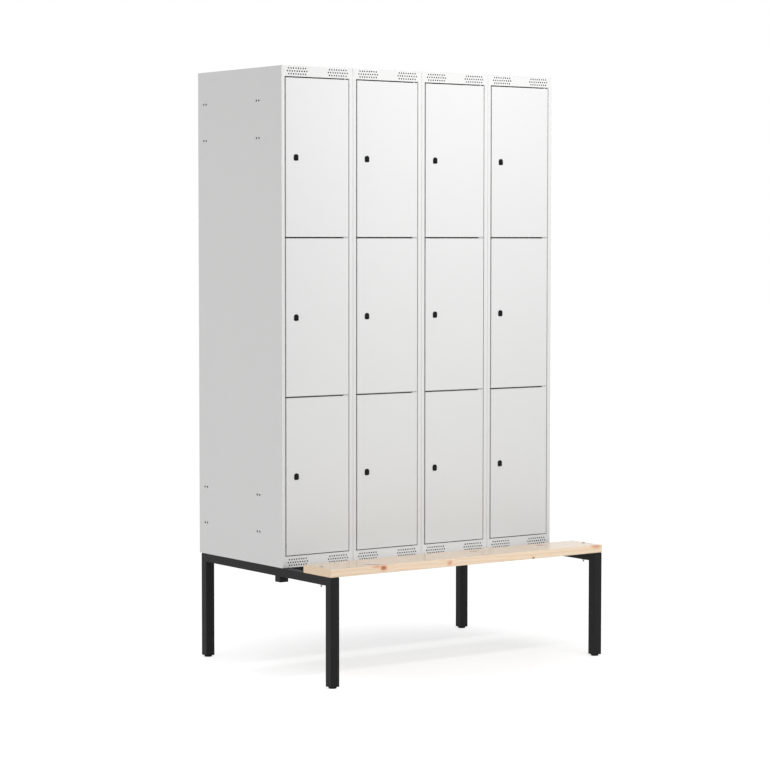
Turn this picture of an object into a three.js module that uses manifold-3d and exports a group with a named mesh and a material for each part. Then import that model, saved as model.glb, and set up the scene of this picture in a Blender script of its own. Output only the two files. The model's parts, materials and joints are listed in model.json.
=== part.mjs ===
// Steel locker of four modules with twelve doors, on a black tube base that also carries a pine bench.
// Millimetres, +Z up. The origin is on the floor under the middle of the whole object, and -Y is the front.
// Modules are numbered 1 to 4 from the left; the doors of each are top, middle and bottom.

import * as THREE from "three";
import { mergeVertices } from "three/addons/utils/BufferGeometryUtils.js";
import Module from "manifold-3d";

const wasm = await Module();
wasm.setup();

// Layout of the whole object
const MODULE_COUNT = 4;
const TIERS = ["top", "middle", "bottom"];
const MODULE_WIDTH = 300; // from one module's left side to the next one's
const CABINET_DEPTH = 550;
const CABINET_HEIGHT = 1740;
const BASE_HEIGHT = 380; // floor to the underside of the cabinet and of the bench plank
const BENCH_REACH = 300; // cabinet's front face to the bench's front edge
const TOUCH = 0.3; // gap kept between pieces that rest on or against each other
const OVERRUN = 1; // how far a cutting solid runs past the surface that it cuts
const WELD_DISTANCE = 0.001; // vertices closer than this are one vertex

// Folded sheet steel of the cabinet
const SHEET = 0.8;
const POST_LEFT = 13; // width of the front frame beside the lock edge of the doors
const POST_RIGHT = 16; // and beside their hinge edge
const HEADER = 37; // height of the front frame above the doors
const PLINTH = 40; // and below them
const REBATE = 20; // depth of the folded edge round the door opening

// Doors, flush in the front frame
const DOOR_GAP_LEFT = 5;
const DOOR_GAP_RIGHT = 3;
const DOOR_GAP_TOP = 4;
const DOOR_GAP_BOTTOM = 3;
const DOOR_GAP_BETWEEN = 5;
const DOOR_DEPTH = 18;
const DOOR_LIP = 12; // width of the edge folded back in behind the door

// Hinge pivots at the right edge of each door
const PIVOT_INSET = 11; // from the door's right edge to the pivot
const PIVOT_BEHIND = 7; // from the door's front face to the pivot
const PIN_RADIUS = 2.5;
const PIN_CLEARANCE = 0.4;
const PIN_REACH = 6; // how far a pin runs into the door's folded edge
const TAB_REACH = 10; // how far the hinge tab runs past the pivot
const TAB_DEPTH = 15;
const TAB_THICKNESS = 3;
const TAB_ABOVE_DOOR = 0.5; // clearance between the tab and the door under it
const TAB_NECK_SETBACK = 3; // the tab's neck lies this far behind its front edge

// Shelves between the compartments
const SHELF_SETBACK = 25; // cabinet's front face to the shelf's front edge
const SHELF_LIP = 20;
const SHELF_HEM = 8;

// Pairs of fixing holes in the two outermost side walls
const SIDE_HOLE_RADIUS = 4;
const SIDE_HOLE_SPACING = 16;
const SIDE_HOLE_FROM_FRONT = 152;
const SIDE_HOLE_FROM_BACK = 48;
const SIDE_HOLE_NEAR_END = 115; // height of a pair from the cabinet's top or bottom
const SIDE_HOLE_FAR_END = 245;

// Cam lock of each door
const LOCK_INSET = 41.5; // door's left edge to the lock's axis
const LOCK_WIDTH = 19;
const LOCK_HEIGHT = 22.5;
const LOCK_TOP_RADIUS = 8.5;
const LOCK_BOTTOM_RADIUS = 5;
const LOCK_PROUD = 2.5; // how far the lock's face stands off the door
const NECK_WIDTH = 14;
const NECK_CORNER = 2;
const BARREL_RADIUS = 5.4;
const BARREL_CLEARANCE = 0.4;
const KEY_SLOT_WIDTH = 1.8;
const KEY_SLOT_HEIGHT = 7;
const KEY_SLOT_DEPTH = 1.2;
const CAM_BEHIND_REBATE = 2; // running room between the folded edge of the frame and the cam
const CAM_THICKNESS = 1.5;
const CAM_WIDTH = 14;
const CAM_CATCH = 6; // how far the turned cam reaches behind the front frame
const CAM_SCREW_RADIUS = 4;
const CAM_SCREW_HEIGHT = 2.5;

// Square steel tube of the base
const TUBE = 35;
const TUBE_WALL = 2;
const TUBE_CORNER = 3;
const RAIL_HEIGHT = 30;
const REAR_LEG_SETBACK = 12; // cabinet's back to the rear legs' back
const LEG_END_HEIGHT = 6; // floor to the open lower end of a leg
const BEAM_SETBACK = 13; // cabinet's front face to the front cross beam and the short tubes
const STUB_DROP = 20; // how far the short tube under each side rail hangs below it

// Plastic glides in the legs
const GLIDE_RADIUS = 14;
const GLIDE_CHAMFER = 1.5;
const GLIDE_PLUG_HEIGHT = 18;

// Bench plank and its bolts
const PLANK_DEPTH = 168;
const PLANK_THICKNESS = 28;
const PLANK_CORNER = 2.5;
const BOLT_RADIUS = 3;
const BOLT_CLEARANCE = 0.3;
const BOLT_HEAD_RADIUS = 6.5;
const BOLT_HEAD_HEIGHT = 3;
const BOLT_TIP = 11; // how far the bolt stands out below the rail
const NUT_RADIUS = 5.8;
const NUT_HEIGHT = 5;

// Facets of round forms: of a full circle, of a rounded corner, and of the lock's face
const ROUND_SIDES = 16;
const SMALL_ROUND_SIDES = 10;
const CORNER_SIDES = 2;
const LOCK_FACE_SIDES = 4;
const NUT_SIDES = 6;

// Sizes that follow from the ones above
const CABINET_WIDTH = MODULE_COUNT * MODULE_WIDTH;
const BODY_WIDTH = MODULE_WIDTH - TOUCH;
const DOOR_WIDTH = BODY_WIDTH - POST_LEFT - DOOR_GAP_LEFT - DOOR_GAP_RIGHT - POST_RIGHT;
const DOOR_GAPS = DOOR_GAP_TOP + DOOR_GAP_BOTTOM + (TIERS.length - 1) * DOOR_GAP_BETWEEN;
const DOOR_HEIGHT = (CABINET_HEIGHT - HEADER - PLINTH - DOOR_GAPS) / TIERS.length;
const DOOR_LEFT = POST_LEFT + DOOR_GAP_LEFT;
const PIVOT_X = DOOR_LEFT + DOOR_WIDTH - PIVOT_INSET;
const PIN_HOLE_RADIUS = PIN_RADIUS + PIN_CLEARANCE;
const CAM_FRONT = REBATE + CAM_BEHIND_REBATE;
const CAM_BACK = CAM_FRONT + CAM_THICKNESS;
const CAM_REACH = LOCK_INSET + DOOR_GAP_LEFT + CAM_CATCH;
const FRAME_TOP = BASE_HEIGHT - TOUCH;
const RAIL_BOTTOM = FRAME_TOP - RAIL_HEIGHT;
const FRAME_BACK = CABINET_DEPTH - REAR_LEG_SETBACK;
const PLANK_BACK = PLANK_DEPTH - BENCH_REACH;
const BOLT_Y = PLANK_DEPTH / 2 - BENCH_REACH;

// Paint, wood, plastic and metal, as photographed
const finishes = {
  carcass: { color: 0xdfe0de, roughness: 0.45, metalness: 0 },
  door: { color: 0xd9dad9, roughness: 0.42, metalness: 0 },
  base: { color: 0x1f1f20, roughness: 0.5, metalness: 0 },
  pine: { color: 0xe9c79b, roughness: 0.35, metalness: 0 },
  black: { color: 0x0f0f10, roughness: 0.45, metalness: 0 },
  zinc: { color: 0xb4b6b8, roughness: 0.35, metalness: 0.9 },
};
for (const [name, look] of Object.entries(finishes)) {
  finishes[name] = new THREE.MeshStandardMaterial({ ...look, flatShading: true });
}

// A closed three.js geometry as a solid that can be joined and cut
function solid(geometry) {
  const bare = geometry.clone();
  bare.deleteAttribute("normal");
  bare.deleteAttribute("uv");
  const merged = mergeVertices(bare, WELD_DISTANCE);
  const vertProperties = merged.attributes.position.array;
  const triVerts = Uint32Array.from(merged.index.array);
  return new wasm.Manifold(new wasm.Mesh({ numProp: 3, vertProperties, triVerts }));
}

// A box between its lowest and its highest corner
function block([x0, y0, z0], [x1, y1, z1]) {
  const box = new THREE.BoxGeometry(x1 - x0, y1 - y0, z1 - z0);
  box.translate((x0 + x1) / 2, (y0 + y1) / 2, (z0 + z1) / 2);
  return solid(box);
}

const X_AXIS = new THREE.Vector3(1, 0, 0);
const Y_AXIS = new THREE.Vector3(0, 1, 0);
const Z_AXIS = new THREE.Vector3(0, 0, 1);

// Each arc of an outline gets twice the curve segments, so half its sides are asked for
function extruded(shape, length, sides) {
  const curveSegments = sides / 2;
  return new THREE.ExtrudeGeometry(shape, { depth: length, bevelEnabled: false, curveSegments });
}

// An outline in the YZ plane, run along X from one place to another
function alongX(shape, from, to, sides) {
  const run = extruded(shape, to - from, sides);
  run.applyMatrix4(new THREE.Matrix4().makeBasis(Y_AXIS, Z_AXIS, X_AXIS));
  return solid(run.translate(from, 0, 0));
}

// An outline in the XZ plane, run along Y from one place to another
function alongY(shape, from, to, sides) {
  const run = extruded(shape, to - from, sides);
  run.applyMatrix4(new THREE.Matrix4().makeBasis(X_AXIS, Z_AXIS, Y_AXIS.clone().negate()));
  return solid(run.translate(0, to, 0));
}

// An outline in the XY plane, run along Z from one place to another
function alongZ(shape, from, to, sides) {
  return solid(extruded(shape, to - from, sides).translate(0, 0, from));
}

function circle(x, y, radius) {
  return new THREE.Shape().absarc(x, y, radius, 0, 2 * Math.PI);
}

// A rectangle whose two lower corners and two upper corners have their own radius
function roundedRectangle([left, low], [right, high], lowRadius, highRadius = lowRadius) {
  const quarter = Math.PI / 2;
  const shape = new THREE.Shape();
  shape.absarc(right - lowRadius, low + lowRadius, lowRadius, -quarter, 0);
  shape.absarc(right - highRadius, high - highRadius, highRadius, 0, quarter);
  shape.absarc(left + highRadius, high - highRadius, highRadius, quarter, 2 * quarter);
  shape.absarc(left + lowRadius, low + lowRadius, lowRadius, 2 * quarter, 3 * quarter);
  return shape;
}

// A solid as a named mesh in a group
function place(group, name, body, finish) {
  const { vertProperties, triVerts } = body.getMesh();
  const geometry = new THREE.BufferGeometry();
  geometry.setAttribute("position", new THREE.BufferAttribute(vertProperties, 3));
  geometry.setIndex(new THREE.BufferAttribute(triVerts, 1));
  geometry.computeVertexNormals();
  const mesh = new THREE.Mesh(geometry, finish);
  mesh.name = name;
  group.add(mesh);
}

function groupAt(parent, x, y, z) {
  const group = new THREE.Group();
  group.position.set(x, y, z);
  parent.add(group);
  return group;
}

// Height of a door's lower edge above the cabinet's underside; tier 0 is the top one
function doorBottom(tier) {
  const below = TIERS.length - 1 - tier;
  return PLINTH + DOOR_GAP_BOTTOM + below * (DOOR_HEIGHT + DOOR_GAP_BETWEEN);
}

// Hinge pin, upright through the pivot
function pin(low, high) {
  return alongZ(circle(PIVOT_X, PIVOT_BEHIND, PIN_RADIUS), low, high, SMALL_ROUND_SIDES);
}

// Hinge tab in the gap under a door, with its neck to the right post and its pin to both doors
function hingeTab(tier) {
  const doorBelow = doorBottom(tier) - DOOR_GAP_BETWEEN;
  const low = doorBelow + TAB_ABOVE_DOOR;
  const high = low + TAB_THICKNESS;
  const doorRight = PIVOT_X + PIVOT_INSET;
  const plate = block([PIVOT_X - TAB_REACH, 0, low], [doorRight, TAB_DEPTH, high]);
  const postSide = BODY_WIDTH - POST_RIGHT + SHEET;
  const neck = block([PIVOT_X, TAB_NECK_SETBACK, low], [postSide, TAB_DEPTH, high]);
  return plate.add(neck).add(pin(doorBelow - PIN_REACH, doorBottom(tier) + PIN_REACH));
}

// The pairs of holes in a side wall that starts at the given x
function sideHoles(wall) {
  const depths = [SIDE_HOLE_FROM_FRONT, CABINET_DEPTH - SIDE_HOLE_FROM_BACK];
  const ends = [SIDE_HOLE_NEAR_END, SIDE_HOLE_FAR_END];
  const heights = ends.concat(ends.map((end) => CABINET_HEIGHT - end));
  const holes = [];
  for (const depth of depths) {
    for (const height of heights) {
      for (const side of [-1, 1]) {
        const hole = circle(depth + (side * SIDE_HOLE_SPACING) / 2, height, SIDE_HOLE_RADIUS);
        holes.push(alongX(hole, wall - OVERRUN, wall + SHEET + OVERRUN, SMALL_ROUND_SIDES));
      }
    }
  }
  return holes;
}

// Welded body of a module: sides, back, roof, floor and front frame, with the fixed halves of the hinges
function carcass(module) {
  const inner = [BODY_WIDTH - SHEET, CABINET_DEPTH - SHEET, CABINET_HEIGHT - SHEET];
  const frameRight = BODY_WIDTH - POST_RIGHT;
  const frameTop = CABINET_HEIGHT - HEADER;
  const doorway = block([POST_LEFT, -OVERRUN, PLINTH], [frameRight, REBATE + OVERRUN, frameTop]);
  const foldedLow = [POST_LEFT - SHEET, 0, PLINTH - SHEET];
  const foldedEdge = block(foldedLow, [frameRight + SHEET, REBATE, frameTop + SHEET]);
  let body = block([0, 0, 0], [BODY_WIDTH, CABINET_DEPTH, CABINET_HEIGHT])
    .subtract(block([SHEET, SHEET, SHEET], inner))
    .add(foldedEdge)
    .subtract(doorway)
    .add(pin(PLINTH - SHEET, doorBottom(TIERS.length - 1) + PIN_REACH))
    .add(pin(frameTop - DOOR_GAP_TOP - PIN_REACH, frameTop + SHEET));
  for (let tier = 0; tier < TIERS.length - 1; tier++) body = body.add(hingeTab(tier));
  if (module === 0) for (const hole of sideHoles(0)) body = body.subtract(hole);
  if (module === MODULE_COUNT - 1) {
    for (const hole of sideHoles(BODY_WIDTH - SHEET)) body = body.subtract(hole);
  }
  return body;
}

// Shelf under a door: a sheet with its front edge folded down and hemmed back
function shelf(tier) {
  const left = SHEET + TOUCH;
  const right = BODY_WIDTH - SHEET - TOUCH;
  const back = CABINET_DEPTH - SHEET - TOUCH;
  const top = doorBottom(tier) - DOOR_GAP_BETWEEN / 2;
  const low = top - SHELF_LIP;
  const board = block([left, SHELF_SETBACK, top - SHEET], [right, back, top]);
  const lip = block([left, SHELF_SETBACK, low], [right, SHELF_SETBACK + SHEET, top]);
  const hem = block([left, SHELF_SETBACK, low], [right, SHELF_SETBACK + SHELF_HEM, low + SHEET]);
  return board.add(lip).add(hem);
}

// Door: a folded pan, open at the back, with holes for its two pins and its lock
function door() {
  const inner = [DOOR_WIDTH - SHEET, DOOR_DEPTH - SHEET, DOOR_HEIGHT - SHEET];
  const openLow = [DOOR_LIP, DOOR_DEPTH / 2, DOOR_LIP];
  const openHigh = [DOOR_WIDTH - DOOR_LIP, DOOR_DEPTH + OVERRUN, DOOR_HEIGHT - DOOR_LIP];
  const pivot = circle(DOOR_WIDTH - PIVOT_INSET, PIVOT_BEHIND, PIN_HOLE_RADIUS);
  const half = NECK_WIDTH / 2 + TOUCH;
  const middle = DOOR_HEIGHT / 2;
  const lockHole = block(
    [LOCK_INSET - half, -OVERRUN, middle - half],
    [LOCK_INSET + half, SHEET + OVERRUN, middle + half],
  );
  return block([0, 0, 0], [DOOR_WIDTH, DOOR_DEPTH, DOOR_HEIGHT])
    .subtract(block([SHEET, SHEET, SHEET], inner))
    .subtract(block(openLow, openHigh))
    .subtract(alongZ(pivot, -OVERRUN, DOOR_HEIGHT + OVERRUN, SMALL_ROUND_SIDES))
    .subtract(lockHole);
}

// Lock housing: a face on the door's front and a square neck through it, bored for the barrel
function lockHousing() {
  const low = [-LOCK_WIDTH / 2, -LOCK_HEIGHT / 2];
  const high = [LOCK_WIDTH / 2, LOCK_HEIGHT / 2];
  const face = roundedRectangle(low, high, LOCK_BOTTOM_RADIUS, LOCK_TOP_RADIUS);
  const half = NECK_WIDTH / 2;
  const neck = roundedRectangle([-half, -half], [half, half], NECK_CORNER);
  const bore = circle(0, 0, BARREL_RADIUS + BARREL_CLEARANCE);
  return alongY(face, -LOCK_PROUD, -TOUCH, LOCK_FACE_SIDES)
    .add(alongY(neck, -LOCK_PROUD / 2, CAM_FRONT - TOUCH, CORNER_SIDES))
    .subtract(alongY(bore, -LOCK_PROUD - OVERRUN, CAM_FRONT + OVERRUN, ROUND_SIDES));
}

// Lock barrel: a key-slotted cylinder with the cam screwed on behind, hanging down while unlocked
function lockBarrel() {
  const halfSlot = KEY_SLOT_WIDTH / 2;
  const slot = block(
    [-halfSlot, -LOCK_PROUD - OVERRUN, -KEY_SLOT_HEIGHT / 2],
    [halfSlot, -LOCK_PROUD + KEY_SLOT_DEPTH, KEY_SLOT_HEIGHT / 2],
  );
  const halfCam = CAM_WIDTH / 2;
  const cam = roundedRectangle([-halfCam, -CAM_REACH], [halfCam, halfCam], CAM_WIDTH / 4);
  return alongY(circle(0, 0, BARREL_RADIUS), -LOCK_PROUD, CAM_BACK, ROUND_SIDES)
    .add(alongY(cam, CAM_FRONT, CAM_BACK, CORNER_SIDES))
    .add(alongY(circle(0, 0, CAM_SCREW_RADIUS), CAM_FRONT, CAM_BACK + CAM_SCREW_HEIGHT, SMALL_ROUND_SIDES))
    .subtract(slot);
}

// End frame: front leg, rear leg and side rail welded from tube, open at the feet, with a short
// tube welded upright under the rail below the front cross beam
function endFrame() {
  const front = -BENCH_REACH;
  const inside = TUBE - TUBE_WALL;
  const legs = [front, FRAME_BACK - TUBE];
  const railOutline = roundedRectangle([0, RAIL_BOTTOM], [TUBE, FRAME_TOP], TUBE_CORNER);
  const railLow = [TUBE_WALL, front + TUBE_WALL, RAIL_BOTTOM + TUBE_WALL];
  const railHigh = [inside, FRAME_BACK - TUBE_WALL, FRAME_TOP - TUBE_WALL];
  let outside = alongY(railOutline, front, FRAME_BACK, CORNER_SIDES);
  let hollow = block(railLow, railHigh);
  for (const leg of legs) {
    const outline = roundedRectangle([0, leg], [TUBE, leg + TUBE], TUBE_CORNER);
    outside = outside.add(alongZ(outline, LEG_END_HEIGHT, FRAME_TOP, CORNER_SIDES));
    const low = [TUBE_WALL, leg + TUBE_WALL, LEG_END_HEIGHT - OVERRUN];
    hollow = hollow.add(block(low, [inside, leg + inside, FRAME_TOP - TUBE_WALL]));
  }
  const stubLow = RAIL_BOTTOM - STUB_DROP;
  const stub = roundedRectangle([0, BEAM_SETBACK], [TUBE, BEAM_SETBACK + TUBE], TUBE_CORNER);
  outside = outside.add(alongZ(stub, stubLow, RAIL_BOTTOM + TUBE_CORNER, CORNER_SIDES));
  const stubHollow = [TUBE_WALL, BEAM_SETBACK + TUBE_WALL, stubLow - OVERRUN];
  hollow = hollow.add(block(stubHollow, [inside, BEAM_SETBACK + inside, RAIL_BOTTOM]));
  const boltHole = circle(TUBE / 2, BOLT_Y, BOLT_RADIUS + BOLT_CLEARANCE);
  const drilled = alongZ(boltHole, RAIL_BOTTOM - OVERRUN, FRAME_TOP + OVERRUN, ROUND_SIDES);
  return outside.subtract(hollow).subtract(drilled);
}

// Cross beam: rail tube between the side rails, its front face the given distance behind the cabinet's
function crossBeam(front) {
  const back = front + TUBE;
  const outline = roundedRectangle([front, RAIL_BOTTOM], [back, FRAME_TOP], TUBE_CORNER);
  const from = TUBE + TOUCH;
  const to = CABINET_WIDTH - TUBE - TOUCH;
  const hollowLow = [from - OVERRUN, front + TUBE_WALL, RAIL_BOTTOM + TUBE_WALL];
  const hollowHigh = [to + OVERRUN, back - TUBE_WALL, FRAME_TOP - TUBE_WALL];
  return alongX(outline, from, to, CORNER_SIDES).subtract(block(hollowLow, hollowHigh));
}

// Glide: a chamfered foot under a plug that fits in the leg
function glide() {
  const foot = new THREE.LatheGeometry(
    [
      new THREE.Vector2(0, 0),
      new THREE.Vector2(GLIDE_RADIUS - GLIDE_CHAMFER, 0),
      new THREE.Vector2(GLIDE_RADIUS, GLIDE_CHAMFER),
      new THREE.Vector2(GLIDE_RADIUS, LEG_END_HEIGHT + OVERRUN),
      new THREE.Vector2(0, LEG_END_HEIGHT + OVERRUN),
    ],
    ROUND_SIDES,
  );
  foot.rotateX(Math.PI / 2);
  const half = TUBE / 2 - TUBE_WALL - TOUCH;
  const top = LEG_END_HEIGHT + GLIDE_PLUG_HEIGHT;
  return solid(foot).add(block([-half, -half, LEG_END_HEIGHT], [half, half, top]));
}

// Bench plank: one board, its long edges eased, drilled for the two bolts
function benchPlank() {
  const back = PLANK_BACK;
  const top = BASE_HEIGHT + PLANK_THICKNESS;
  const outline = roundedRectangle([-BENCH_REACH, BASE_HEIGHT], [back, top], PLANK_CORNER);
  let board = alongX(outline, 0, CABINET_WIDTH, CORNER_SIDES);
  for (const x of [TUBE / 2, CABINET_WIDTH - TUBE / 2]) {
    const hole = circle(x, BOLT_Y, BOLT_RADIUS + BOLT_CLEARANCE);
    board = board.subtract(alongZ(hole, BASE_HEIGHT - OVERRUN, top + OVERRUN, ROUND_SIDES));
  }
  return board;
}

// Bench bolt with its nut tightened under the rail, upright about its own axis
function benchBolt() {
  const seat = BASE_HEIGHT + PLANK_THICKNESS + TOUCH;
  const nutTop = RAIL_BOTTOM - TOUCH;
  const shank = circle(0, 0, BOLT_RADIUS);
  return alongZ(shank, RAIL_BOTTOM - BOLT_TIP, seat + BOLT_HEAD_HEIGHT, ROUND_SIDES)
    .add(alongZ(circle(0, 0, BOLT_HEAD_RADIUS), seat, seat + BOLT_HEAD_HEIGHT, ROUND_SIDES))
    .add(alongZ(circle(0, 0, NUT_RADIUS), nutTop - NUT_HEIGHT, nutTop, NUT_SIDES));
}

// The base, measured from the floor under the cabinet's front left corner
function addBase(parent) {
  const sides = { left: 0, right: CABINET_WIDTH - TUBE };
  const frame = endFrame();
  const bolt = benchBolt();
  const foot = glide();
  for (const [side, x] of Object.entries(sides)) {
    place(groupAt(parent, x, 0, 0), `end_frame_${side}`, frame, finishes.base);
    place(groupAt(parent, x + TUBE / 2, BOLT_Y, 0), `bench_bolt_${side}`, bolt, finishes.zinc);
    const ends = { front: TUBE / 2 - BENCH_REACH, rear: FRAME_BACK - TUBE / 2 };
    for (const [end, y] of Object.entries(ends)) {
      place(groupAt(parent, x + TUBE / 2, y, 0), `glide_${end}_${side}`, foot, finishes.black);
    }
  }
  place(parent, "cross_beam_front", crossBeam(BEAM_SETBACK), finishes.base);
  place(parent, "cross_beam_rear", crossBeam(FRAME_BACK - TUBE), finishes.base);
  place(parent, "bench_plank", benchPlank(), finishes.pine);
}

// The cabinet: the modules side by side, each with its shelves, doors and locks
function addCabinet(parent) {
  const doorBody = door();
  const housing = lockHousing();
  const barrel = lockBarrel();
  for (let module = 0; module < MODULE_COUNT; module++) {
    const number = module + 1;
    const body = groupAt(parent, module * MODULE_WIDTH + TOUCH / 2, 0, 0);
    place(body, `carcass_${number}`, carcass(module), finishes.carcass);
    place(body, `shelf_upper_${number}`, shelf(0), finishes.carcass);
    place(body, `shelf_lower_${number}`, shelf(1), finishes.carcass);
    for (const [tier, tierName] of TIERS.entries()) {
      const hung = groupAt(body, DOOR_LEFT, 0, doorBottom(tier));
      const lock = groupAt(hung, LOCK_INSET, 0, DOOR_HEIGHT / 2);
      place(hung, `door_${number}_${tierName}`, doorBody, finishes.door);
      place(lock, `lock_housing_${number}_${tierName}`, housing, finishes.black);
      place(lock, `lock_barrel_${number}_${tierName}`, barrel, finishes.zinc);
    }
  }
}

const locker = new THREE.Group();
const corner = groupAt(locker, -CABINET_WIDTH / 2, (BENCH_REACH - CABINET_DEPTH) / 2, 0);
addBase(corner);
addCabinet(groupAt(corner, 0, 0, BASE_HEIGHT));

export default locker;
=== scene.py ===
# Steel clothes locker of four modules with three doors each, on a black tube base with a pine bench.
# Metres, +Z up, the floor at zero and -Y the front. Modules count from the left, doors from the top.

import json
import math

import bpy
import numpy as np
from mathutils import Matrix, Vector


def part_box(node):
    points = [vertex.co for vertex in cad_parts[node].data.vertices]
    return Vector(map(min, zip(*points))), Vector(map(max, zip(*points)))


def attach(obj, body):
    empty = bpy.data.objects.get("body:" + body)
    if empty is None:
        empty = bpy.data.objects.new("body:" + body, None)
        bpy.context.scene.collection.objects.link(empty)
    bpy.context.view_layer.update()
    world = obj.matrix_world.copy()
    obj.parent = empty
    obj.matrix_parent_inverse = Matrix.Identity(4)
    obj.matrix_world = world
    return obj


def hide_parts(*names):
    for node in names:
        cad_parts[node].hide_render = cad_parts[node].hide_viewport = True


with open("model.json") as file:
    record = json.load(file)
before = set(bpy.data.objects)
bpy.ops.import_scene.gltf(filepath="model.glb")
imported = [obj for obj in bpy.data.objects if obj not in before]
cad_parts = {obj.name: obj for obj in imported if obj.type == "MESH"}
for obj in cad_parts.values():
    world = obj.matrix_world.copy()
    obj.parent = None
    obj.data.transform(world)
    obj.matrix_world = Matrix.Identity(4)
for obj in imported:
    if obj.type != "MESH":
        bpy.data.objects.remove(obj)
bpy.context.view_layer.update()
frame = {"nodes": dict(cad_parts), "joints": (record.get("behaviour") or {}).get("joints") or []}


# Camera
# A long lens at eye height in front of the locker's left side, turned a little downwards.

CAMERA_PLACE = (-5.3709, -7.3914, 1.5278)
CAMERA_YAW = math.radians(35.638)  # from +Y towards +X
CAMERA_PITCH = math.radians(-3.352)
CAMERA_ROLL = math.radians(0.035)
LENS_MM = 117.565
SENSOR_MM = 36

camera = bpy.data.objects.new("camera", bpy.data.cameras.new("camera"))
camera.data.lens = LENS_MM
camera.data.sensor_width = SENSOR_MM
camera.data.clip_end = 100
camera.matrix_world = (
    Matrix.Translation(CAMERA_PLACE)
    @ Matrix.Rotation(-CAMERA_YAW, 4, "Z")
    @ Matrix.Rotation(math.pi / 2 + CAMERA_PITCH, 4, "X")
    @ Matrix.Rotation(CAMERA_ROLL, 4, "Z")
)
bpy.context.scene.collection.objects.link(camera)
bpy.context.scene.camera = camera


# Studio floor
# A wide pale sheet under the locker, seen as the white of the background but with the locker's
# soft shadow kept in it. Its glow is also lowered in a round patch under the locker: a painted shadow.

FLOOR_HALF = 30
FLOOR_TONE = (0.92, 0.92, 0.92, 1)  # what it throws back at the locker
FLOOR_SHADE = (0.50, 0.50, 0.50, 1)  # the part of its seen white that follows the shadow
FLOOR_GLOW_IN_PAINTED_SHADOW = 0.61  # and the part that doesn't, lowered under the locker as a painted shadow
FLOOR_GLOW_FAR = 0.77  # and everywhere else
# Centre and reach of the painted shadow: a patch of lower glow on the floor under the locker.
PAINTED_SHADOW_CENTRE = (0.10, -0.05, 0)
PAINTED_SHADOW_INSIDE = 0.35  # distance from there at which the painted shadow starts to fade and the glow to rise
PAINTED_SHADOW_OUTSIDE = 0.9


def add_node(tree, kind, inputs, **settings):
    """A shader node. An input is a plain value, or another node's output socket, which is linked."""
    made = tree.nodes.new("ShaderNode" + kind)
    for name, value in settings.items():
        setattr(made, name, value)
    for key, value in inputs.items():
        if isinstance(value, bpy.types.NodeSocket):
            tree.links.new(value, made.inputs[key])
        else:
            made.inputs[key].default_value = value
    return made


def blend_colours(tree, share, first, second):
    """The first colour where share is 0 and the second where it is 1."""
    mixed = add_node(tree, "Mix", {0: share, 6: first, 7: second}, data_type="RGBA")
    return mixed.outputs[2]


def seen_directly(tree):
    """1 for rays from the eye, and for those that a glossy or clear surface passes on; otherwise 0."""
    ray = add_node(tree, "LightPath", {})
    mirrored = add_node(tree, "Math", {0: ray.outputs["Is Camera Ray"], 1: ray.outputs["Is Glossy Ray"]},
                        operation="MAXIMUM")
    seen = add_node(tree, "Math", {0: mirrored.outputs[0], 1: ray.outputs["Is Transmission Ray"]},
                    operation="MAXIMUM")
    return seen.outputs[0]


def floor_finish():
    finish = bpy.data.materials.new("studio_floor")
    finish.use_nodes = True
    tree = finish.node_tree
    tree.nodes.clear()
    seen = seen_directly(tree)
    tone = blend_colours(tree, seen, FLOOR_TONE, FLOOR_SHADE)
    matt = add_node(tree, "BsdfDiffuse", {"Color": tone})
    place = add_node(tree, "TexCoord", {}).outputs["Object"]
    # The glow is lower round a centre under the locker, which paints a shadow onto the floor.
    away = add_node(tree, "VectorMath", {0: place, 1: PAINTED_SHADOW_CENTRE}, operation="DISTANCE")
    level = add_node(tree, "MapRange", {0: away.outputs["Value"], 1: PAINTED_SHADOW_INSIDE, 2: PAINTED_SHADOW_OUTSIDE,
                                        3: FLOOR_GLOW_IN_PAINTED_SHADOW, 4: FLOOR_GLOW_FAR},
                     interpolation_type="SMOOTHSTEP")
    glow_strength = add_node(tree, "Math", {0: seen, 1: level.outputs[0]}, operation="MULTIPLY")
    glow = add_node(tree, "Emission", {"Strength": glow_strength.outputs[0]})
    both = add_node(tree, "AddShader", {0: matt.outputs[0], 1: glow.outputs[0]})
    add_node(tree, "OutputMaterial", {"Surface": both.outputs[0]})
    return finish


sheet = bpy.data.meshes.new("studio_floor")
sheet.from_pydata([(-FLOOR_HALF, -FLOOR_HALF, 0), (FLOOR_HALF, -FLOOR_HALF, 0),
                   (FLOOR_HALF, FLOOR_HALF, 0), (-FLOOR_HALF, FLOOR_HALF, 0)], [], [(0, 1, 2, 3)])
sheet.materials.append(floor_finish())
floor = bpy.data.objects.new("studio_floor", sheet)
bpy.context.scene.collection.objects.link(floor)


# Studio light
# An even white room, a long lamp high in front, which lights the upper doors the most, a weak one
# low in front for the legs and the plinth, and a wide one level with the locker's left side.

ROOM_LIGHT = 0.51
LAMPS = (  # name, place, what it is aimed at, width and height, power
    ("front_lamp", (0.25, -2.0, 2.5), (0.25, -0.1, 2.2), (1.6, 0.3), 30),
    ("low_lamp", (0.2, -1.9, 0.62), (0.2, -0.1, 0.3), (2.4, 0.3), 5.4),
    ("side_lamp", (-4.5, 0.3, 1.25), (-0.6, 0.15, 1.15), (3.0, 3.0), 38),
)

world = bpy.data.worlds.new("studio")
world.use_nodes = True
world.node_tree.nodes.clear()
bpy.context.scene.world = world
room = add_node(world.node_tree, "Background", {"Color": (1, 1, 1, 1), "Strength": ROOM_LIGHT})
white = add_node(world.node_tree, "Background", {"Color": (1, 1, 1, 1), "Strength": 1})
sky = add_node(world.node_tree, "MixShader",
               {0: seen_directly(world.node_tree), 1: room.outputs[0], 2: white.outputs[0]})
add_node(world.node_tree, "OutputWorld", {"Surface": sky.outputs[0]})

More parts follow.
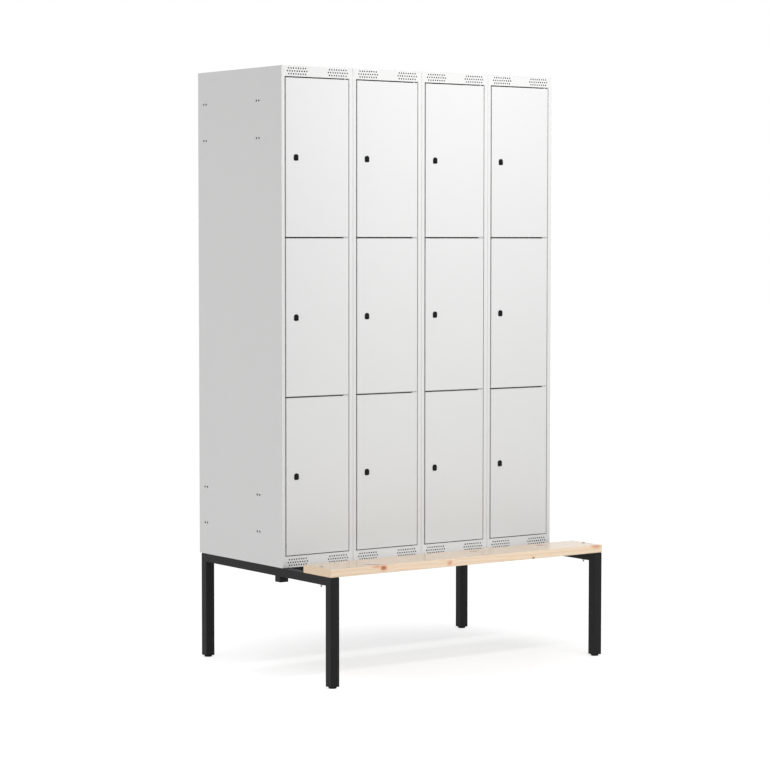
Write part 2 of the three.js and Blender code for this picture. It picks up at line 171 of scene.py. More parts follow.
for name, lamp_place, lamp_aim, (width, height), watts in LAMPS:
    lamp = bpy.data.objects.new(name, bpy.data.lights.new(name, "AREA"))
    lamp.data.shape = "RECTANGLE"
    lamp.data.size = width
    lamp.data.size_y = height
    lamp.data.energy = watts
    lamp.visible_glossy = False  # shiny faces mirror the white room alone, so none of them burns out
    aim = Vector(lamp_aim) - Vector(lamp_place)
    turned_to = aim.to_track_quat("-Z", "Y").to_matrix().to_4x4()
    lamp.matrix_world = Matrix.Translation(lamp_place) @ turned_to
    bpy.context.scene.collection.objects.link(lamp)
bpy.context.scene.view_settings.view_transform = "Standard"


# End frames of the base
# Front leg, rear leg and side rail of square steel tube, mitred and welded into one, with black
# powder paint. The legs are open below and take the glides. A short piece of the same tube is
# welded upright under the rail, below the front cross beam.

TUBE_WALL = 0.002
TUBE_CORNER = 0.003
TUBE_CORNER_STEPS = 4
RAIL_HEIGHT = 0.030
MITRE_INSIDE = 0.001  # fillet of the weld where a leg meets the rail
STUB_DROP = 0.020  # how far the short tube hangs below the rail
STUB_SINK = 0.001  # and how far it runs into the rail's wall
BLACK_PAINT = (0.014, 0.014, 0.0145)
PATCHES_PER_METRE = 5.0  # wide patches of the paint, in cycles per metre
PAINT_GLOSS_SPREAD = 0.04
PEEL_PER_METRE = 420  # bumps of the paint's orange peel
PEEL_STRENGTH = 0.10
PEEL_HEIGHT = 0.0002
NOISE_LOW = 0.3  # most of a noise lies between these
NOISE_HIGH = 0.7
SHARP_EDGE = math.radians(40)


def new_finish(name):
    """A material of the object, its node tree, its shader and the place on the piece."""
    finish = bpy.data.materials.new(name)
    finish.use_nodes = True
    tree = finish.node_tree
    place = add_node(tree, "TexCoord", {}).outputs["Object"]
    return finish, tree, tree.nodes["Principled BSDF"], place


def noise(tree, place, per_metre, detail):
    made = add_node(tree, "TexNoise", {"Vector": place, "Scale": per_metre, "Detail": detail})
    return made.outputs[0]


def vary_tone(tree, shader, pattern, tone, darkest, lightest):
    """Shades a tone by a pattern, from its darkest share to its lightest one."""
    low = [channel * darkest for channel in tone] + [1]
    high = [channel * lightest for channel in tone] + [1]
    tree.links.new(blend_colours(tree, pattern, low, high), shader.inputs["Base Color"])


def vary_gloss(tree, shader, pattern, roughness, spread):
    """Roughness that rises with a noise, from the spread below its middle value to that above it."""
    gloss = add_node(tree, "MapRange", {0: pattern, 1: NOISE_LOW, 2: NOISE_HIGH,
                                        3: roughness - spread, 4: roughness + spread})
    tree.links.new(gloss.outputs[0], shader.inputs["Roughness"])


def add_relief(tree, shader, pattern, strength, height):
    bumps = add_node(tree, "Bump", {"Height": pattern, "Strength": strength, "Distance": height})
    tree.links.new(bumps.outputs[0], shader.inputs["Normal"])


def powder_coat(name, tone, roughness, variation=0.03, shine=0.5):
    """Baked powder paint: two near tones in wide soft patches, gloss that varies with them, and a
    fine orange peel in relief."""
    finish, tree, shader, place = new_finish(name)
    shader.inputs["Specular IOR Level"].default_value = shine
    patches = noise(tree, place, PATCHES_PER_METRE, 3.0)
    vary_tone(tree, shader, patches, tone, 1 - variation, 1 + variation)
    vary_gloss(tree, shader, patches, roughness, PAINT_GLOSS_SPREAD)
    add_relief(tree, shader, noise(tree, place, PEEL_PER_METRE, 1.0), PEEL_STRENGTH, PEEL_HEIGHT)
    return finish


def rounded_outline(low, high, radii, steps):
    """Outline of a rectangle with quarter circles for corners, counter-clockwise from the lower
    right corner. Each corner has its own radius, or all have one."""
    radius = np.broadcast_to(radii, 4).astype(float)[:, None]
    centre_x = np.array([[high[0]], [high[0]], [low[0]], [low[0]]]) + radius * [[-1], [-1], [1], [1]]
    centre_y = np.array([[low[1]], [high[1]], [high[1]], [low[1]]]) + radius * [[1], [-1], [-1], [1]]
    turn = np.arange(4)[:, None] * math.pi / 2 + np.linspace(-math.pi / 2, 0, steps + 1)
    arcs = np.stack([centre_x + radius * np.cos(turn), centre_y + radius * np.sin(turn)], -1)
    return arcs.reshape(-1, 2)


def loft(rings, closed=False):
    """Faces between closed rings of points: a point joins its neighbour in the ring and the same
    two points of the next ring. A closed loft joins its last ring to its first."""
    count, around = rings.shape[:2]
    index = np.arange(count * around).reshape(count, around)
    after = np.roll(index, -1, axis=0)
    faces = np.stack([index, np.roll(index, -1, axis=1), np.roll(after, -1, axis=1), after], -1)
    return (faces if closed else faces[:-1]).reshape(-1, 4)


def walled(outer, inner, faces):
    """Gives a sheet its thickness: the outer surface, the inner one facing back, and a rim along
    each open edge, which is an edge that one face alone has."""
    edges = np.stack([faces, np.roll(faces, -1, axis=1)], -1).reshape(-1, 2)
    _, where, count = np.unique(np.sort(edges, 1), axis=0, return_index=True, return_counts=True)
    start, end = edges[where[count == 1]].T
    total = len(outer)
    rim = np.stack([end, start, start + total, end + total], -1)
    return np.concatenate([outer, inner]), np.concatenate([faces, faces[:, ::-1] + total, rim])


def add_piece(name, points, faces, finish, body, slot, *nodes):
    """A smooth-shaded mesh whose sharp edges stay sharp. It rides on a body, takes the finish given
    and stands for the CAD nodes named. The slot is not used."""
    mesh = bpy.data.meshes.new(name)
    mesh.from_pydata(np.reshape(points, (-1, 3)).tolist(), [], [list(face) for face in faces])
    mesh.shade_smooth()
    mesh.set_sharp_from_angle(angle=SHARP_EDGE)
    mesh.materials.append(finish)
    piece = bpy.data.objects.new(name, mesh)
    bpy.context.scene.collection.objects.link(piece)
    even = piece.modifiers.new("even_shading", "WEIGHTED_NORMAL")
    even.keep_sharp = True
    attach(piece, body)
    if nodes:
        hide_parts(*nodes)
    return piece


def frame_skin(low, high, inset):
    """Surface of an end frame, inset from its outside: the tube's outline carried up the front
    leg, back along the rail and down the rear leg. Each outline point keeps its share of the way
    from the frame's outer line to its inner line, and both lines turn the corners in arcs."""
    tube = high.x - low.x
    outline = rounded_outline((inset, inset), (tube - inset, tube - inset), TUBE_CORNER - inset,
                              TUBE_CORNER_STEPS)
    across = low.x + outline[:, 0]
    share = ((outline[:, 1] - inset) / (tube - 2 * inset))[:, None]
    turn = np.linspace(0, math.pi / 2, TUBE_CORNER_STEPS + 1)[:, None]
    outside = [[(low.y + inset, low.z)]]
    inside = [[(low.y + tube - inset, low.z)]]
    for edge_y, away in ((low.y, -1), (high.y, 1)):
        first, second = ((away, 0), (0, 1)) if away < 0 else ((0, 1), (away, 0))
        facing = np.cos(turn) * first + np.sin(turn) * second - np.add(first, second)
        outside.append((edge_y - away * inset, high.z - inset) + (TUBE_CORNER - inset) * facing)
        inner_corner = (edge_y - away * (tube - inset), high.z - RAIL_HEIGHT + inset)
        inside.append(inner_corner + (MITRE_INSIDE + inset) * facing)
    outside.append([(high.y - inset, low.z)])
    inside.append([(high.y - tube + inset, low.z)])
    outside, inside = (np.concatenate(line)[:, None] for line in (outside, inside))
    profile = outside + share * (inside - outside)
    return np.stack([np.broadcast_to(across, profile.shape[:2]), profile[..., 0], profile[..., 1]], -1)


def upright_tube(low, high, inset):
    """Surface of an upright square tube, inset from its outside: its outline at both ends."""
    outline = rounded_outline((low.x + inset, low.y + inset), (high.x - inset, high.y - inset),
                              TUBE_CORNER - inset, TUBE_CORNER_STEPS)
    return np.array([np.insert(outline, 2, height, axis=1) for height in (low.z, high.z)])


def joined(*shells):
    """Several closed shells as the points and faces of one mesh."""
    points, faces, total = [], [], 0
    for shell_points, shell_faces in shells:
        points.append(np.reshape(shell_points, (-1, 3)))
        faces += [[corner + total for corner in face] for face in shell_faces]
        total += len(points[-1])
    return np.concatenate(points), faces


base_paint = powder_coat("black_powder_coat", BLACK_PAINT, roughness=0.42, shine=0.12)
beam_low, beam_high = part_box("cross_beam_front")
for side in ("left", "right"):
    low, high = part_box(f"end_frame_{side}")
    rail_bottom = high.z - RAIL_HEIGHT
    stub = (Vector((low.x, beam_low.y, rail_bottom - STUB_DROP)),
            Vector((high.x, beam_high.y, rail_bottom + STUB_SINK)))
    shells = []
    for surface, corners in ((frame_skin, (low, high)), (upright_tube, stub)):
        skin = surface(*corners, 0)
        inner = surface(*corners, TUBE_WALL)
        shells.append(walled(skin.reshape(-1, 3), inner.reshape(-1, 3), loft(skin)))
    add_piece(f"base_frame_{side}", *joined(*shells), base_paint, "cabinet", "base_paint",
              f"end_frame_{side}")


# Cross beams of the base
# Two lengths of rail tube welded between the end frames, one under the cabinet's front edge and one
# between the rear legs, with the same black paint.

TOUCH = 0.0003  # gap between pieces that rest on each other
END_EASE = 0.0006  # rounding of a beam's cut ends
EASE_STEPS = 2


def capped(rings):
    """A loft whose first and last ring are closed with flat faces."""
    total = rings.shape[0] * rings.shape[1]
    first = list(range(rings.shape[1]))
    last = list(range(total - rings.shape[1], total))
    return rings.reshape(-1, 3), loft(rings).tolist() + [first[::-1], last]


def bar(low, high, radius, steps, ease=END_EASE):
    """A straight bar along X: a rounded rectangle carried from end to end, which draws in at both
    ends by a quarter circle."""
    turn = np.linspace(0, math.pi / 2, EASE_STEPS + 1)
    inset = ease * (1 - np.sin(turn))
    start = ease * (1 - np.cos(turn))
    places = np.concatenate([low[0] + start, high[0] - start[::-1]])
    insets = np.concatenate([inset, inset[::-1]])
    rings = []
    for place, draw in zip(places, insets):
        outline = rounded_outline(np.add(low[1:], draw), np.subtract(high[1:], draw), radius - draw, steps)
        rings.append(np.insert(outline, 0, place, axis=1))
    return capped(np.array(rings))


for place in ("front", "rear"):
    points, faces = bar(*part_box(f"cross_beam_{place}"), TUBE_CORNER, TUBE_CORNER_STEPS)
    add_piece(f"base_beam_{place}", points, faces, base_paint, "cabinet", "base_paint",
              f"cross_beam_{place}")


# Glides
# Round black plastic feet, turned with an eased lower edge, on square plugs pressed into the legs.

GLIDE_RADIUS = 0.014
GLIDE_EASE = 0.0015
GLIDE_SIDES = 48
PLUG_CORNER_SHARE = 1.36  # the plug's corner radius vector over its half width
GLIDE_EDGE_RINGS = 5
BLACK_PLASTIC = (0.006, 0.006, 0.0065)
GRAINS_PER_METRE = 900.0
GRAIN_STRENGTH = 0.15
GRAIN_HEIGHT = 0.0001
PLASTIC_DARKEST = 0.8
PLASTIC_LIGHTEST = 1.25
PLASTIC_GLOSS_SPREAD = 0.05


def moulded_plastic(name, tone, roughness, shine):
    """Dark moulded plastic: a fine spark-eroded grain in gloss and relief."""
    finish, tree, shader, place = new_finish(name)
    shader.inputs["Specular IOR Level"].default_value = shine
    grain = noise(tree, place, GRAINS_PER_METRE, 3.0)
    vary_tone(tree, shader, grain, tone, PLASTIC_DARKEST, PLASTIC_LIGHTEST)
    vary_gloss(tree, shader, grain, roughness, PLASTIC_GLOSS_SPREAD)
    add_relief(tree, shader, grain, GRAIN_STRENGTH, GRAIN_HEIGHT)
    return finish


def glide(low, high, leg_end):
    """A round foot that turns into a square plug: rings round a vertical axis, each with a radius
    that is constant for the foot, and the half width over the larger of cosine and sine for the plug."""
    angle = np.linspace(0, 2 * math.pi, GLIDE_SIDES, endpoint=False)
    turn = np.linspace(0, math.pi / 2, GLIDE_EDGE_RINGS)
    heights = low.z + GLIDE_EASE * (1 - np.cos(turn))
    radii = GLIDE_RADIUS - GLIDE_EASE * (1 - np.sin(turn))
    foot = radii[:, None] * np.ones(GLIDE_SIDES)
    half = (high.x - low.x) / 2
    square = np.minimum(half / np.maximum(abs(np.cos(angle)), abs(np.sin(angle))),
                        half * PLUG_CORNER_SHARE)
    reach = np.concatenate([foot, foot[-1:], [square, square]])
    height = np.concatenate([heights, [leg_end, leg_end, high.z]])[:, None] * np.ones(GLIDE_SIDES)
    middle = (low + high) / 2
    across = middle.x + reach * np.cos(angle)
    back = middle.y + reach * np.sin(angle)
    return capped(np.stack([across, back, height], -1))


plastic = moulded_plastic("black_plastic", BLACK_PLASTIC, roughness=0.45, shine=0.08)
for side in ("left", "right"):
    leg_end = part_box(f"end_frame_{side}")[0].z
    for end in ("front", "rear"):
        name = f"glide_{end}_{side}"
        add_piece(f"foot_{end}_{side}", *glide(*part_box(name), leg_end), plastic, "cabinet",
                  "black_plastic", name)


# Bench plank
# One pine board with its long edges eased, under clear lacquer. Growth rings run along it, the end
# grain is darker, and knots show: the largest where a branch, cut along its length on top, leaves
# the front edge.

PLANK_CORNER = 0.0025
PLANK_END_EASE = 0.0008
PLANK_STEPS = 5
PINE_PALE = (0.90, 0.74, 0.56, 1)
PINE_WARM = (0.85, 0.65, 0.46, 1)
PINE_LATE = (0.72, 0.46, 0.28, 1)
END_GRAIN = (0.90, 0.68, 0.46, 1)
KNOT_CORE = (0.55, 0.155, 0.052, 1)
KNOT_RIM = (0.80, 0.45, 0.27, 1)
KNOT_BARK = (0.080, 0.034, 0.022, 1)
END_GRAIN_DEPTH = 0.75  # share of the end grain's own colour in it
LACQUER_WEIGHT = 0.6
LACQUER_ROUGHNESS = 0.12
PINE_ROUGHNESS = 0.37
PINE_GLOSS_SPREAD = 0.05
FIBRE_STRENGTH = 0.08
FIBRE_HEIGHT = 0.0002
RING_WIDTH = 0.0062
RING_WANDER = 0.030  # how far the rings bend along the board
WANDER_NOISE = (1.3, 7.0, 2.0)  # cycles per metre along and across the board, and detail
GROUND_NOISE = (2.2, 16.0, 3.0)
FIBRE_NOISE = (9.0, 700.0, 3.0)
LINE_IN_FIBRES = 0.7  # how much the fibres add to the least strength of a ring's line
LINE_LEAST = 0.1
LATE_WOOD = (0.45, 0.95)  # shares of a year in which the ring's line darkens, and from which it fades
KNOT_BULGE = 0.020  # how far a knot pushes the rings out
KNOT_PUSH_FADE = 0.8  # how fast that dies away outside it
KNOT_RAGGED = 0.35  # unevenness of a knot's outline
RAGS_PER_METRE = 90.0
FLECKS_PER_METRE = 420.0
FLECK_LEVELS = (0.40, 0.62)  # levels of a noise between which a fleck of bark darkens
CORE_EDGE = (0.60, 1.15)  # where a knot's core fades and ends, over its half lengths
RIM_EDGE = (1.05, 1.80)  # and its reddish rim
BARK_EDGE = (0.85, 1.15)  # and its bark
RIM_DEPTH = 0.7
PITH = (0.0, -0.300, 0.330)  # the heart of the trunk, which runs along X below the board
KNOTS = (  # place along X, Y and Z, half lengths along the three, turn, depth of colour and of bark
    (-0.382, -0.425, 0.398, 0.014, 0.020, 0.010, 0, 1.0, 0.3),
    (-0.409, -0.425, 0.405, 0.018, 0.008, 0.005, 0, 0.25, 0.1),
    (-0.404, -0.395, 0.408, 0.038, 0.009, 0.005, -0.69, 1.0, 0.9),
    (-0.0975, -0.425, 0.394, 0.010, 0.010, 0.008, 0, 0.45, 0),
    (0.104, -0.302, 0.408, 0.024, 0.012, 0.010, 0, 1.0, 0.8),
    (0.407, -0.304, 0.408, 0.021, 0.012, 0.010, 0, 1.0, 0.8),
    (0.278, -0.425, 0.3835, 0.0055, 0.006, 0.0035, 0, 1.0, 1.0),
    (0.573, -0.424, 0.405, 0.020, 0.014, 0.008, 0, 0.4, 0),
)


def pine_finish(board_end):
    """Lacquered pine. A ring number is the distance from the pith over the ring width, bent by a
    slow noise along the board and pushed out round each knot. Its fraction darkens towards the
    end of each year. A knot is an ellipsoid with a dark core, a reddish rim and flecks of bark."""
    finish, tree, shader, place = new_finish("lacquered_pine")
    shader.inputs["Coat Weight"].default_value = LACQUER_WEIGHT
    shader.inputs["Coat Roughness"].default_value = LACQUER_ROUGHNESS

    def maths(operation, first, second=0.0, third=0.0):
        made = add_node(tree, "Math", {0: first, 1: second, 2: third}, operation=operation)
        return made.outputs[0]

    def board_noise(along, across, detail):
        scaled = add_node(tree, "Mapping", {"Vector": place, "Scale": (along, across, across)})
        return noise(tree, scaled.outputs[0], 1.0, detail)

    def fall(value, start, stop, high=1.0, low=0.0):
        """High up to the start, low from the stop on, and in a straight line between."""
        made = add_node(tree, "MapRange", {0: value, 1: start, 2: stop, 3: high, 4: low})
        return made.outputs[0]

    centred = add_node(tree, "VectorMath", {0: place, 1: PITH}, operation="SUBTRACT")
    section = add_node(tree, "VectorMath", {0: centred.outputs[0], 1: (0, 1, 1)}, operation="MULTIPLY")
    radius = add_node(tree, "VectorMath", {0: section.outputs[0]}, operation="LENGTH")
    wander = maths("MULTIPLY", board_noise(*WANDER_NOISE), RING_WANDER)
    reach = maths("ADD", radius.outputs["Value"], wander)
    core = rim = bark = 0.0
    ragged = noise(tree, place, RAGS_PER_METRE, 2.0)
    flecks = fall(noise(tree, place, FLECKS_PER_METRE, 2.0), *FLECK_LEVELS, 0.0, 1.0)
    for x, y, z, half_x, half_y, half_z, turn, depth, bark_depth in KNOTS:
        knot_shape = {"Location": (x, y, z), "Rotation": (0, 0, turn), "Scale": (half_x, half_y, half_z)}
        within = add_node(tree, "Mapping", {"Vector": place, **knot_shape}, vector_type="TEXTURE")
        near = add_node(tree, "VectorMath", {0: within.outputs[0]}, operation="LENGTH")
        edge = maths("MULTIPLY_ADD", ragged, KNOT_RAGGED, near.outputs["Value"])
        bulge = maths("POWER", math.e, maths("MULTIPLY", near.outputs["Value"], -KNOT_PUSH_FADE))
        reach = maths("MULTIPLY_ADD", bulge, KNOT_BULGE * depth, reach)
        core = maths("MAXIMUM", core, fall(edge, *CORE_EDGE, depth))
        rim = maths("MAXIMUM", rim, fall(edge, *RIM_EDGE))
        bark = maths("MAXIMUM", bark, fall(edge, *BARK_EDGE, bark_depth))
    bark = maths("MULTIPLY", bark, maths("MAXIMUM", flecks, maths("MULTIPLY", bark, bark)))
    year = maths("FRACT", maths("DIVIDE", reach, RING_WIDTH))
    line = maths("MULTIPLY", fall(year, *LATE_WOOD, 0.0, 1.0), fall(year, LATE_WOOD[1], 1.0))
    fibres = board_noise(*FIBRE_NOISE)
    line = maths("MULTIPLY", line, maths("MULTIPLY_ADD", fibres, LINE_IN_FIBRES, LINE_LEAST))
    ground = blend_colours(tree, board_noise(*GROUND_NOISE), PINE_PALE, PINE_WARM)
    along = add_node(tree, "SeparateXYZ", {0: place}).outputs[0]
    end = fall(maths("ABSOLUTE", along), board_end - PLANK_END_EASE, board_end, 0.0, END_GRAIN_DEPTH)
    line = maths("MULTIPLY", line, maths("ADD", end, 1.0))
    grain = blend_colours(tree, line, blend_colours(tree, end, ground, END_GRAIN), PINE_LATE)
    tinted = blend_colours(tree, maths("MULTIPLY", rim, RIM_DEPTH), grain, KNOT_RIM)
    knotty = blend_colours(tree, core, tinted, KNOT_CORE)
    tree.links.new(blend_colours(tree, bark, knotty, KNOT_BARK), shader.inputs["Base Color"])
    vary_gloss(tree, shader, fibres, PINE_ROUGHNESS, PINE_GLOSS_SPREAD)
    add_relief(tree, shader, fibres, FIBRE_STRENGTH, FIBRE_HEIGHT)
    return finish


low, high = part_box("bench_plank")
add_piece("plank", *bar(low, high, PLANK_CORNER, PLANK_STEPS, PLANK_END_EASE), pine_finish(high.x),
          "cabinet", "pine", "bench_plank")


# Bench bolts
# Zinc-plated steel, one through each end of the plank and the rail: a domed head on top, a thread
# that stands out below the rail, and a hexagon nut tightened on it.

BOLT_RADIUS = 0.003
BOLT_HEAD_RADIUS = 0.0065
HEAD_RIM_SHARE = 0.35  # part of the head's height that is its straight rim
DOME_RINGS = 6
THREAD_PITCH = 0.001
THREAD_DEPTH = 0.0004
THREAD_STEPS = 8  # rings in each turn of the thread
BOLT_SIDES = 32
NUT_RADIUS = 0.0058
NUT_HEIGHT = 0.005
NUT_SIDES = 48
NUT_CLEARANCE = 0.0001  # between the thread and the nut's bore
CHAMFER_SHARE = 0.6  # the cut at the nut's faces over what its corners stand out past its flats
ZINC = (0.52, 0.515, 0.51)
CLOUDS_PER_METRE = 160.0
ZINC_DARKEST = 0.85
ZINC_LIGHTEST = 1.15
ZINC_GLOSS_SPREAD = 0.08


def plated_metal(name, tone, roughness):
    """Bright zinc plate: cloudy tone and gloss."""
    finish, tree, shader, place = new_finish(name)
    shader.inputs["Metallic"].default_value = 0.95
    clouds = noise(tree, place, CLOUDS_PER_METRE, 4.0)
    vary_tone(tree, shader, clouds, tone, ZINC_DARKEST, ZINC_LIGHTEST)
    vary_gloss(tree, shader, clouds, roughness, ZINC_GLOSS_SPREAD)
    return finish


def turned(x, y, heights, radii, sides):
    """Rings round a vertical axis from a height and a radius for each; a radius may differ round
    the ring."""
    angle = np.linspace(0, 2 * math.pi, sides, endpoint=False)
    reach = np.reshape(radii, (len(heights), -1)) * np.ones(sides)
    height = np.reshape(heights, (-1, 1)) * np.ones(sides)
    return np.stack([x + reach * np.cos(angle), y + reach * np.sin(angle), height], -1)


def bolt_shank(x, y, tip, smooth_from, seat, top):
    """Thread, smooth shank and domed head. The thread's radius falls by a cosine of height less
    angle, so that its crest climbs one pitch a turn."""
    angle = np.linspace(0, 2 * math.pi, BOLT_SIDES, endpoint=False)
    count = int((smooth_from - tip) / THREAD_PITCH * THREAD_STEPS)
    rise = np.linspace(tip, smooth_from, count)
    phase = 2 * math.pi * rise[:, None] / THREAD_PITCH - angle
    taper = np.clip((rise - tip) / THREAD_PITCH, 0, 1)[:, None]
    thread = BOLT_RADIUS - THREAD_DEPTH * (1 - taper * (1 + np.cos(phase)) / 2)
    turn = np.linspace(0, math.pi / 2, DOME_RINGS + 1)[:-1]
    dome = seat + (top - seat) * (HEAD_RIM_SHARE + (1 - HEAD_RIM_SHARE) * np.sin(turn))
    heights = np.concatenate([rise, [seat], dome])
    smooth = np.concatenate([[BOLT_RADIUS], BOLT_HEAD_RADIUS * np.cos(turn)])[:, None]
    rings = turned(x, y, heights, np.concatenate([thread, smooth * np.ones(BOLT_SIDES)]), BOLT_SIDES)
    under_head = turned(x, y, [seat], [BOLT_HEAD_RADIUS], BOLT_SIDES)
    return capped(np.insert(rings, count + 1, under_head, axis=0))


def hexagon_reach(radius, sides):
    """Distance from a hexagon's centre to its outline all round, and to the middle of a flat: a
    flat's distance over the cosine of the angle from its middle."""
    angle = np.linspace(0, 2 * math.pi, sides, endpoint=False)
    flat = radius * math.cos(math.pi / 6)
    return flat / np.cos(np.mod(angle, math.pi / 3) - math.pi / 6), flat


def hexagon_nut(x, y, low, high):
    """A bored hexagon whose corners are cut by a cone at both faces: the radius is the smaller of
    the hexagon's and the cone's."""
    hexagon, flat = hexagon_reach(NUT_RADIUS, NUT_SIDES)
    chamfer = (NUT_RADIUS - flat) * CHAMFER_SHARE
    heights = [low, low, low + chamfer, high - chamfer, high, high]
    bore = (BOLT_RADIUS + NUT_CLEARANCE) * np.ones(NUT_SIDES)
    cone = np.minimum(hexagon, flat)
    rings = turned(x, y, heights, [bore, cone, hexagon, hexagon, cone, bore], NUT_SIDES)
    return rings, loft(rings, closed=True)


zinc = plated_metal("zinc_plate", ZINC, roughness=0.38)
plank_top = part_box("bench_plank")[1].z
for side in ("left", "right"):
    low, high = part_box(f"bench_bolt_{side}")
    x, y = (low.x + high.x) / 2, (low.y + high.y) / 2
    nut_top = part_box(f"end_frame_{side}")[1].z - RAIL_HEIGHT - TOUCH
    shank = bolt_shank(x, y, low.z, nut_top, plank_top + TOUCH, high.z)
    nut = hexagon_nut(x, y, nut_top - NUT_HEIGHT, nut_top)
    add_piece(f"bolt_{side}", *joined(shank, nut), zinc, "cabinet", "zinc", f"bench_bolt_{side}")


# Module bodies
# Each module is one welded body of folded sheet steel under light grey powder paint: sides, back,
# roof, floor, and a front frame whose edges fold in round the doors. Round holes are punched in
# staggered rows in the header and the plinth, and in pairs in the two outermost side walls.

SHEET = 0.0008
FOLD_RADIUS = 0.002  # outside of the folds between walls
DOORWAY_FOLD = 0.0010  # outside of the fold round the doors
FOLD_STEPS = 6
POST_LEFT = 0.013
POST_RIGHT = 0.016
HEADER = 0.037
PLINTH = 0.040
REBATE = 0.020
VENT_RADIUS = 0.0028
VENT_PITCH = 0.010
VENT_ROWS = (8, 9, 8)
VENT_GROUPS = (0.020, 0.190)  # where each group's longest row starts
VENT_MARGIN = 0.0035  # module's top or bottom edge to the nearest row's cells
SIDE_HOLE_RADIUS = 0.004
SIDE_HOLE_SPACING = 0.016
SIDE_HOLE_FROM_FRONT = 0.152
SIDE_HOLE_FROM_BACK = 0.048
SIDE_HOLE_ENDS = (0.115, 0.245)  # from the module's top and bottom
EVEN_CELL = np.array([-1, -0.5, 0, 0.5, 1])  # grid lines across a cell with a hole, over its half width
WELD = 1e-6
BODY_PAINT = (0.745, 0.750, 0.742)


def band_lines(length, radius):
    """Grid lines beside a wall's two edges, where the fold starts, at two angles within it, and
    at its middle: their distances from the edge are the radius times one less a tangent."""
    near = radius * (1 - np.tan(np.radians([45, 30, 15, 0])))
    return np.concatenate([near, length - near])


def merged_lines(*groups):
    """All grid lines of an axis in order, each once."""
    return np.unique(np.round(np.concatenate([np.ravel(group) for group in groups]) / WELD)) * WELD


def grid_faces(index):
    """The faces between neighbouring points of a grid, from the points' numbers."""
    return np.stack([index[:-1, :-1], index[1:, :-1], index[1:, 1:], index[:-1, 1:]], -1)


def punched_cell(centre, half, steps, radius):
    """Faces between a square cell's sixteen border points and sixteen points on a circle in it."""
    around = np.arange(16)
    column = np.clip(np.abs(around - 8) - 2, 0, 4)
    row = np.roll(column, 4)
    border = centre + half * np.stack([steps[column], steps[row]], -1)
    angle = around * math.pi / 8
    circle = centre + radius * np.stack([np.cos(angle), np.sin(angle)], -1)
    beside = np.roll(around, -1)
    return np.concatenate([border, circle]), np.stack([around, beside, beside + 16, around + 16], -1)


def box_walls(size, lines, gaps, holes):
    """The six sides of a box as grids through the lines of each axis, before its edges are
    rounded. A gap leaves out the cells in a rectangle of one side, and a hole fills a square cell
    with a punched one. Both start with their side: its axis, and 0 for the low or 1 for the high end."""
    points, faces, total = [], [], 0
    for axis in range(3):
        u, v = (axis + 1) % 3, (axis + 2) % 3
        for end in (0, 1):
            across, up = np.meshgrid(lines[u], lines[v], indexing="ij")
            kept = np.ones((len(lines[u]) - 1, len(lines[v]) - 1), bool)
            mid_u = (lines[u][:-1] + lines[u][1:])[:, None] / 2
            mid_v = (lines[v][:-1] + lines[v][1:])[None] / 2
            cuts = [gap[2:] for gap in gaps if gap[:2] == (axis, end)]
            mine = [hole[2:] for hole in holes if hole[:2] == (axis, end)]
            cuts += [((cu - half, cv - half), (cu + half, cv + half)) for (cu, cv), half, _, _ in mine]
            for (low_u, low_v), (high_u, high_v) in cuts:
                kept &= ~((mid_u > low_u) & (mid_u < high_u) & (mid_v > low_v) & (mid_v < high_v))
            index = np.arange(across.size).reshape(across.shape)
            quads = grid_faces(index)[kept]
            flat = [(np.stack([across, up], -1).reshape(-1, 2), quads)]
            flat += [punched_cell(*hole) for hole in mine]
            for place, quad in flat:
                corner = np.full((len(place), 3), end * size[axis])
                corner[:, u], corner[:, v] = place.T
                points.append(corner)
                faces.append((quad if end else quad[:, ::-1]) + total)
                total += len(place)
    return np.concatenate(points), np.concatenate(faces)


def rounded_box(flat, size, radius, depth):
    """Rounds a box and sinks its surface to a depth: each point moves towards the nearest point
    of the box drawn in by the radius, until it is the radius less the depth away from it."""
    core = np.clip(flat, radius, np.subtract(size, radius))
    out = flat - core
    return core + out * ((radius - depth) / np.linalg.norm(out, axis=1, keepdims=True))


def doorway_fold(low, high, lines_x, lines_z, depth):
    """The front frame's edge, folded in round a doorway: along each of its four sides, grid lines
    follow the side, and the profile is a quarter circle and then a straight run to the back. At
    the corners the lines stop at the mitre."""
    turn = np.linspace(0, math.pi / 2, FOLD_STEPS + 1)
    bend = DOORWAY_FOLD - depth
    out = np.append(DOORWAY_FOLD - bend * np.sin(turn), depth)
    inward = np.append(DOORWAY_FOLD - bend * np.cos(turn), REBATE)
    points, faces, total = [], [], 0
    for axis, lines in ((0, lines_x), (2, lines_z)):
        start, stop = low[axis // 2], high[axis // 2]
        kept = lines[(lines > start - DOORWAY_FOLD - WELD) & (lines < stop + DOORWAY_FOLD + WELD)]
        along = np.clip(kept[:, None], start - out, stop + out)
        index = np.arange(along.size).reshape(along.shape)
        quads = grid_faces(index).reshape(-1, 4)
        other = 1 - axis // 2
        for edge, away in ((low[other], -1), (high[other], 1)):
            strip = np.empty(along.shape + (3,))
            strip[..., axis] = along
            strip[..., 1] = inward
            strip[..., 2 - axis] = edge + away * out
            points.append(strip.reshape(-1, 3))
            faces.append((quads if (away < 0) == (axis == 0) else quads[:, ::-1]) + total)
            total += along.size
    return np.concatenate(points), np.concatenate(faces)


def welded(outer, inner, faces):
    """Points of the outer skin that lie together become one, and so do their partners inside."""
    _, first, same = np.unique(np.round(outer / WELD), axis=0, return_index=True, return_inverse=True)
    return outer[first], inner[first], np.ravel(same)[faces]


